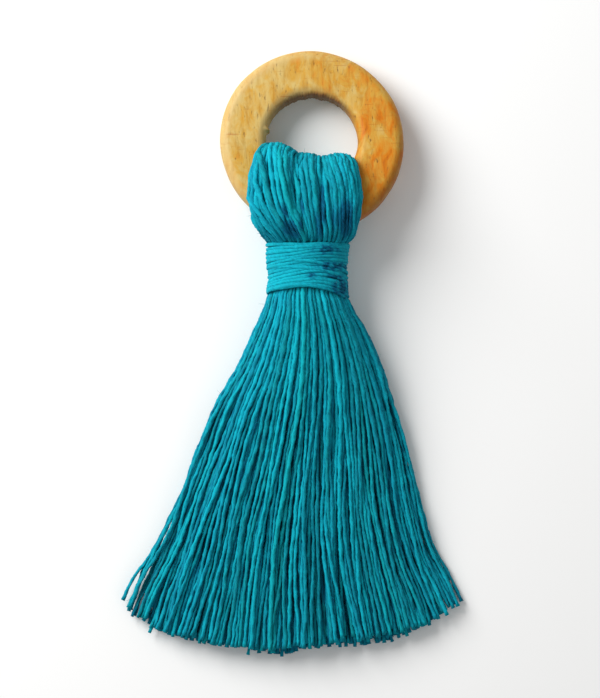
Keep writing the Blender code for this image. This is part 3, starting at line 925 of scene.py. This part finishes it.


# where the head's strands part above the binding, they narrow and are darkened with painted shade: x, y,
# half-width and half-height in mm, amount
darkSpots = (
    (12.0, 28.6, 2.6, 3.2, 0.85),
    (6.2, 27.4, 0.9, 3.4, 0.75),
    (0.6, 26.4, 2.2, 1.5, 0.75),
    (7.0, 32.5, 0.7, 4.0, 0.6),
    (2.6, 30.5, 0.5, 3.0, 0.5),
    (-1.2, 30.0, 0.5, 2.4, 0.5),
)


def darkPlaces(points):
    total = np.zeros(len(points))
    for x, y, wide, tall, amount in darkSpots:
        total += amount * np.exp(-((points[:, 0] - x) / wide) ** 2 - ((points[:, 1] - y) / tall) ** 2)
    return np.clip(total, 0, 1) * (points[:, 2] > 9.0)


def buildHank():
    material = yarnMaterial("soft-spun cotton, teal", 0.0, yarnLook["twistPitch"])
    paths, q = layStrands()
    paths = wander(paths)
    paths = settle(paths)
    paths = splayCorner(paths, q)
    paths = trimEnds(paths)
    strands = []
    for path in paths:
        points, run = resample(path, yarnShape["step"])
        strands.append({"points": points, "run": run})
    allPoints = np.concatenate([s["points"] for s in strands])
    shade = buriedShade(allPoints)
    tones = rng.uniform(0, 1, len(strands))
    hues = rng.normal(0, 0.5, len(strands)).clip(-1, 1)
    start = 0
    for strand, tone, hue in zip(strands, tones, hues):
        points, run = strand["points"], strand["run"]
        count = len(points)
        # painted shade, deeper the further a point lies below the outermost strands
        here = 0.85 * shade[start:start + count]
        start += count
        kink = (waves(3, run, (8.7, 4.6, 2.6), (0.03, 0.032, 0.032)) * ease((11.5 - points[:, 1]) / 12.0)).T
        points = points + kink * (1.0, 0.3, 0.7)
        slub = waves(1, run, (21.0, 6.3, 2.9), (0.08, 0.08, 0.07))[0] + rng.normal(0, 0.07)
        radius = strandRadii(points) * (1 + slub)
        close = np.maximum(ease((points[:, 1] - 24.0) / 8.0), 0.75 * ease((points[:, 1] + 22.0) / 26.0))
        radius = radius * (1 + yarnShape["pressed"] * close)
        fray = np.minimum(run, run[-1] - run)
        radius = radius * (1 + 0.14 * np.exp(-fray / 0.9))
        normal, side = carryFrames(points)
        bearing = (run / 9.0 + rng.uniform(0, 1))[:, None] * 2 * math.pi
        normal, side = (normal * np.cos(bearing) + side * np.sin(bearing),
                        side * np.cos(bearing) - normal * np.sin(bearing))
        inHead = ease((points[:, 1] - 24.0) / 5.0)
        here = here * (1 - 0.75 * inHead) * (1 - 0.4 * close)
        # painted shade where the head's strands part
        dark = darkPlaces(points) * rng.uniform(0.2, 1.0)
        here = np.maximum(here, ease(dark * 3)) + dark
        radius = radius * (1 - 0.3 * dark)
        # painted light: the strands are lighter towards the top, where the lamp is nearer, and darker towards
        # the cut ends
        paintedLampFalloff = 0.14 * ease((points[:, 1] + 55.0) / 70.0) - 0.07
        # painted shade on the cut ends of the under side, which lie below the strands above them
        underEndShade = ease((run - run[-1] + 3.5) / 2.5) * (points[:, 2] < 2.6)      # cut ends of the under side
        here = np.maximum(here, 0.65 * underEndShade)
        points[:, 2] = np.maximum(points[:, 2], radius * 1.25 + 0.02)      # none dips into the table
        strand.update(points=points, normal=normal, side=side, wide=radius * 1.1, tall=radius * 0.9,
                      rough=0.045,
                      tone=np.stack([tone + paintedLampFalloff, here, np.full(count, hue)], axis=1))
    order = np.argsort(q)
    size = math.ceil(len(order) / yarnShape["groups"])
    for group in range(yarnShape["groups"]):
        chosen = [strands[i] for i in order[group * size:(group + 1) * size]]
        piece = tubeMesh(f"hankStrands{group + 1}", chosen, yarnShape["sides"])
        piece.data.materials.append(material)
        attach(piece, "root")
        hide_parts("hank")
    return strands


hankStrands = buildHank()
print("hank laid", len(hankStrands), "strands")


# the binding: the same dye on a finer yarn, wound tight in slanting turns
wrapShape = {
    "turns": 19,
    # places where turns lie loose, darkened with painted shadow
    "looseShadedSpots": ((7.8, 22.0, 2.4, 0.8), (8.8, 18.5, 3.0, 0.8), (4.6, 16.3, 0.9, 0.5),
                   (10.8, 13.6, 1.7, 1.9),
                   (9.5, 16.2, 1.2, 0.5)),      # x, y, half-width, half-height in mm
    "halfWidth": 8.5,       # mm, to the middle of the outer layer
    "halfTall": 6.85,
    "middleX": 3.7,
    "middleZ": 7.2,
    "topY": 23.4,
    "lowY": 12.75,
    "lipRise": 1.3,
    "lipRight": 2.1,         # mm, how far the lower edge hangs at the right
    "waist": 0.35,           # mm, how far it is drawn in at the middle
    "slant": 0.85,           # mm, up to the right across the front
    "yarnWide": 0.38,        # mm, half-width along the neck
    "yarnTall": 0.3,         # mm, half-thickness
    "around": 50.0,          # mm, the length of one turn
    "step": 0.6,             # mm between rings of the yarn's mesh
}


def wrapStrand(startTurn, turns, startPart, endPart, lift, slant, tone, deep):
    # a helix round the neck, flat at the back where the tassel lies on it
    shape = wrapShape
    steps = int(abs(turns) * shape["around"] / shape["step"])
    angle = (startTurn + np.linspace(0, turns, steps)) * 2 * math.pi
    part = np.linspace(startPart, endPart, steps)
    side, rise = np.cos(angle), np.sin(angle)
    shift = waves(1, angle * 8.0, (57.0, 21.0, 9.0), (0.12, 0.09, 0.05))[0]
    swell = shape["waist"] * (1.6 * np.abs(part - 0.42) ** 1.3 * 2 - 0.55) + lift + 0.35 * shift
    x = shape["middleX"] + (shape["halfWidth"] + swell) * side
    bulge = np.abs(rise) ** 0.85 * np.sign(rise)
    front = shape["middleZ"] + (shape["halfTall"] + swell) * bulge
    back = np.maximum(shape["middleZ"] * (1 + 1.08 * bulge) - lift, shape["yarnTall"] + 0.03)
    z = np.where(rise >= 0, front, back)
    low = shape["lowY"] + shape["lipRise"] * np.maximum(rise, 0)
    low -= shape["lipRight"] * np.maximum(side, 0) ** 1.5
    across = slant * np.sqrt(np.clip(4 * part * (1 - part), 0, 1))
    y = mix(low, shape["topY"], part) + across * side + shift
    points = np.stack([x, y, z], axis=1)
    run = np.concatenate(([0.0], np.cumsum(np.linalg.norm(np.diff(points, axis=0), axis=1))))
    tangent = np.gradient(points, axis=0)
    tangent /= np.linalg.norm(tangent, axis=1, keepdims=True)
    along = np.array((0.0, 1.0, 0.0)) - tangent * tangent[:, 1:2]
    along /= np.linalg.norm(along, axis=1, keepdims=True)
    outward = np.cross(along, tangent)
    slub = waves(1, run, (17.0, 6.0, 2.8), (0.08, 0.07, 0.05))[0]
    # the turns are pressed broad and close on the left, and part a little on the right, where painted shade
    # also darkens them on the side away from the lamp
    uneven = 0.5 + waves(1, run, (13.0, 5.3, 2.9), (0.3, 0.3, 0.2))[0]
    partingAndShade = ease(side * 1.5 + 0.1) * np.clip(uneven, 0, 1)
    # where turns lie loose they narrow, and painted shadow darkens the gaps between them
    loose = sum(np.exp(-((x - spot[0]) / spot[2]) ** 2 - ((y - spot[1]) / spot[3]) ** 2)
                for spot in shape["looseShadedSpots"]) * (rise > 0)
    patchy = 0.75 + waves(1, run, (3.4, 2.1, 1.5), (0.4, 0.4, 0.35))[0]
    loose = np.clip(loose * patchy, 0, 1)
    wide = shape["yarnWide"] * (1.12 + slub) * (1 - 0.3 * partingAndShade) * (1 - 0.4 * loose)
    shade = np.clip(deep + 0.3 * partingAndShade + ease(1.6 * loose), 0, 1) + 0.7 * loose
    return {"points": points, "run": run, "normal": along, "side": outward,
            "wide": wide, "tall": shape["yarnTall"] * (1 + slub),
            "tone": np.stack([tone + 0.3 * slub, shade, slub], axis=1)}


def buildWrap():
    # each run of turns: where it starts round the neck, how many turns, where it starts and ends along
    # the binding, how far it lies outside the main layer, its slant, its brightness and its painted shade
    slant = wrapShape["slant"]
    strands = [
        # the under layer lies in full painted shade
        wrapStrand(0.3, 12, 0.08, 0.9, -0.34, -0.5, 0.1, 1.0),      # under layer
        wrapStrand(0.75, wrapShape["turns"], 0.0, 1.0, 0.0, slant, 0.55, 0.0),
        wrapStrand(0.55, 3.9, 0.12, 0.42, 0.18, 1.5, 0.75, 0.0),
        wrapStrand(0.60, 2.9, 0.56, 0.74, 0.17, 1.4, 0.60, 0.05),
        wrapStrand(0.52, 1.95, 0.30, 0.62, 0.25, -0.5, 0.70, 0.0),
        wrapStrand(0.70, 2.6, 0.78, 0.93, 0.16, 1.3, 0.66, 0.0),
        wrapStrand(0.66, 3.7, 0.03, 0.22, 0.14, 1.1, 0.58, 0.0),
    ]
    piece = tubeMesh("neckBinding", strands, yarnShape["sides"])
    piece.data.materials.append(yarnMaterial("fine cotton, teal, wound tight", 0.02, 2.6))
    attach(piece, "root")
    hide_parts("neck_wrap")


buildWrap()
print("binding wound")


# stray fibres of cotton lint, drawn coarser than they are so that they show
fuzzShape = {
    "hairs": 3400,
    "radius": 0.038,         # mm
    "shortest": 0.5,         # mm
    "longest": 1.9,
    "points": 4,             # along each hair
}


def buildFuzz():
    shape = fuzzShape
    hairs = []
    picks = rng.integers(0, len(hankStrands), shape["hairs"])
    for pick in picks:
        strand = hankStrands[pick]
        points = strand["points"]
        i = int(rng.integers(2, len(points) - 2))
        if 11.5 < points[i, 1] < 24.5:
            continue
        bearing = rng.uniform(0, 2 * math.pi)
        outward = strand["normal"][i] * math.cos(bearing) + strand["side"][i] * math.sin(bearing)
        along = points[i + 1] - points[i - 1]
        along /= np.linalg.norm(along)
        lean = along * rng.choice((-1, 1)) * rng.uniform(0.2, 1.3) + outward * rng.uniform(0.5, 1.0)
        lean /= np.linalg.norm(lean)
        curl = rng.normal(0, 0.45, 3)
        length = rng.uniform(shape["shortest"], shape["longest"])
        t = np.linspace(0, 1, shape["points"])[:, None]
        root = points[i] + outward * strand["wide"][i] * 0.8
        path = root + lean * length * t + curl * (t * t) * length * 0.5
        if path[:, 2].min() < shape["radius"]:
            continue
        normal, side = carryFrames(path)
        taper = shape["radius"] * (1 - 0.6 * t[:, 0])
        run = np.linspace(0, length, shape["points"])
        tone = np.tile((rng.uniform(0.5, 1.0), 0.0, 0.0), (shape["points"], 1))
        hairs.append({"points": path, "run": run, "normal": normal, "side": side, "wide": taper,
                      "tall": taper,
                      "tone": tone})
    piece = tubeMesh("strayFibres", hairs, 3, columns=40)
    piece.data.materials.append(yarnMaterial("cotton lint, teal", 0.3, 3.0))
    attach(piece, "root")
    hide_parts("hank")


buildFuzz()
print("lint added")


# the floor, one soft lamp from the upper left, a weak one from the lower right and a pale sky
stageLook = {
    "floor": "#F7F7F6",
    "floorSize": 4.0,        # m
    "keyPower": 3.75,
    "keySize": 0.4,
    "keyPlace": (-0.345, 0.27, 0.315),
    "fillPower": 0.35,
    "fillSize": 0.6,
    "fillPlace": (0.55, -0.35, 0.6),
    "skyStrength": 0.41,
}


def addArea(name, place, size, power):
    data = bpy.data.lights.new(name, "AREA")
    data.shape = "DISK"
    data.size = size
    data.energy = power
    light = bpy.data.objects.new(name, data)
    light.location = place
    aim = -light.location
    light.rotation_euler = aim.to_track_quat("-Z", "Y").to_euler()
    bpy.context.scene.collection.objects.link(light)


def buildStage():
    deselectAll()
    bpy.ops.mesh.primitive_plane_add(size=stageLook["floorSize"], location=(0, 0, 0))
    floor = bpy.context.object
    floor.name = "floor"
    material, _, shader = newMaterial("matt paper, white")
    shader.inputs["Base Color"].default_value = linear(stageLook["floor"])
    shader.inputs["Roughness"].default_value = 0.9
    shader.inputs["Specular IOR Level"].default_value = 0.1
    floor.data.materials.append(material)
    addArea("key", stageLook["keyPlace"], stageLook["keySize"], stageLook["keyPower"])
    addArea("fill", stageLook["fillPlace"], stageLook["fillSize"], stageLook["fillPower"])
    world = bpy.data.worlds.new("sky")
    world.use_nodes = True
    world.node_tree.nodes["Background"].inputs["Color"].default_value = (1.0, 1.0, 1.0, 1.0)
    world.node_tree.nodes["Background"].inputs["Strength"].default_value = stageLook["skyStrength"]
    bpy.context.scene.world = world
    bpy.context.scene.view_settings.view_transform = "Standard"


buildStage()
print("stage set")
